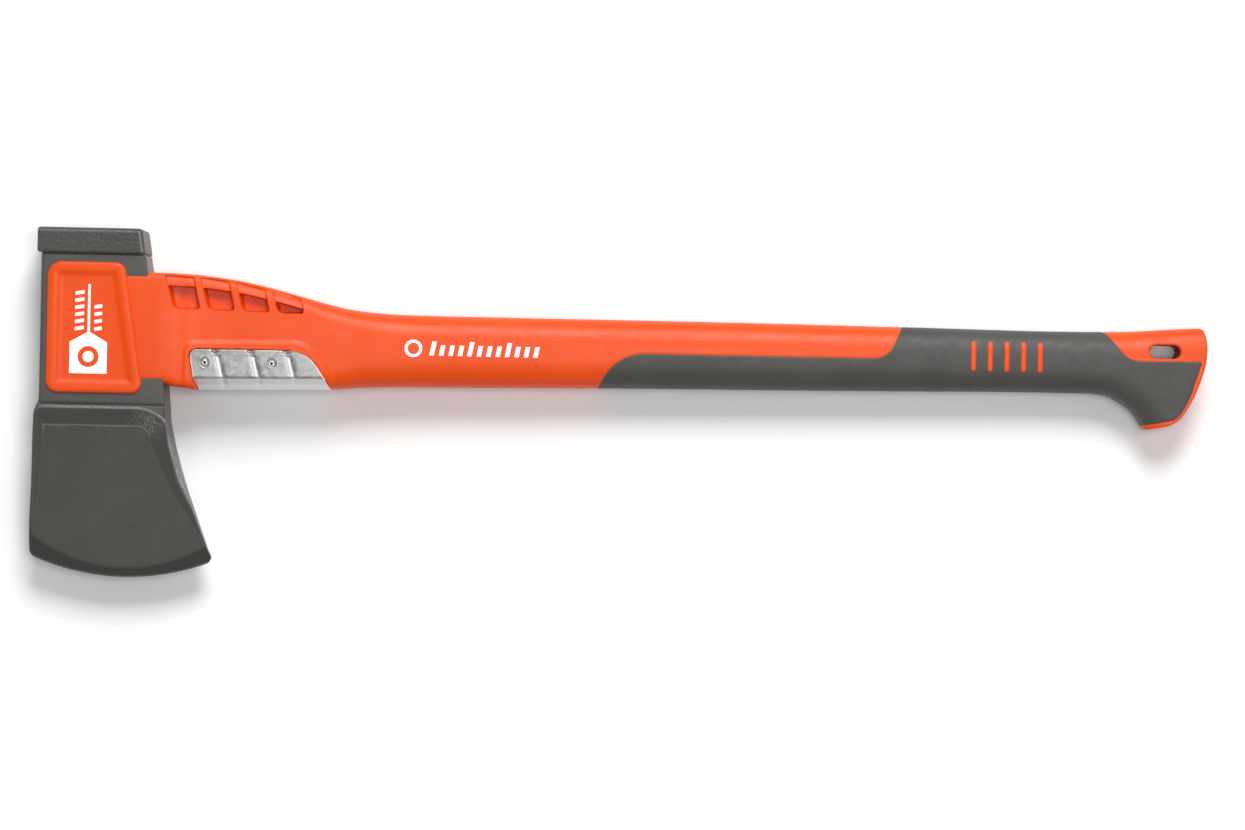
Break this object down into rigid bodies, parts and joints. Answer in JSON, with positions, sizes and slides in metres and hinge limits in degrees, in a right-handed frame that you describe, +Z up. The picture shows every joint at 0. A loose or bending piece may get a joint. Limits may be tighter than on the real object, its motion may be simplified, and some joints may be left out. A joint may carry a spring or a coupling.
{
  "type": "splitting axe",
  "caption": "Two-handed splitting axe with a forged wedge head and hammer poll, composite handle moulded round the eye, soft grip, riveted neck guard and hang slot.",
  "frame": {"origin": "on the surface that the axe lies on, under the middle of its bounding box", "axes": "+X along the handle from head to butt, +Y from the cutting edge to the hammer face, +Z up through the thickness, with the axe lying on its side at rest on head and butt"},
  "size_m": [0.7, 0.2072, 0.049],
  "materials": {
    "forged_steel": "dark coated forging, satin with a fine cast grain",
    "orange_polyamide": "satin moulded, faint mould texture",
    "grey_elastomer": "matt, finely eroded soft-touch surface",
    "galvanised_sheet": "galvanised, mottled satin",
    "rivet_steel": "bright zinc plate"
  },
  "bodies": {
    "root": {"axe_head": "forged_steel", "handle_core": "orange_polyamide", "soft_grip": "grey_elastomer", "strike_guard": "galvanised_sheet", "bore_plug": "orange_polyamide", "guard_rivet_front_left": "rivet_steel", "guard_rivet_rear_left": "rivet_steel", "guard_rivet_front_right": "rivet_steel", "guard_rivet_rear_right": "rivet_steel"}
  },
  "joints": []
}
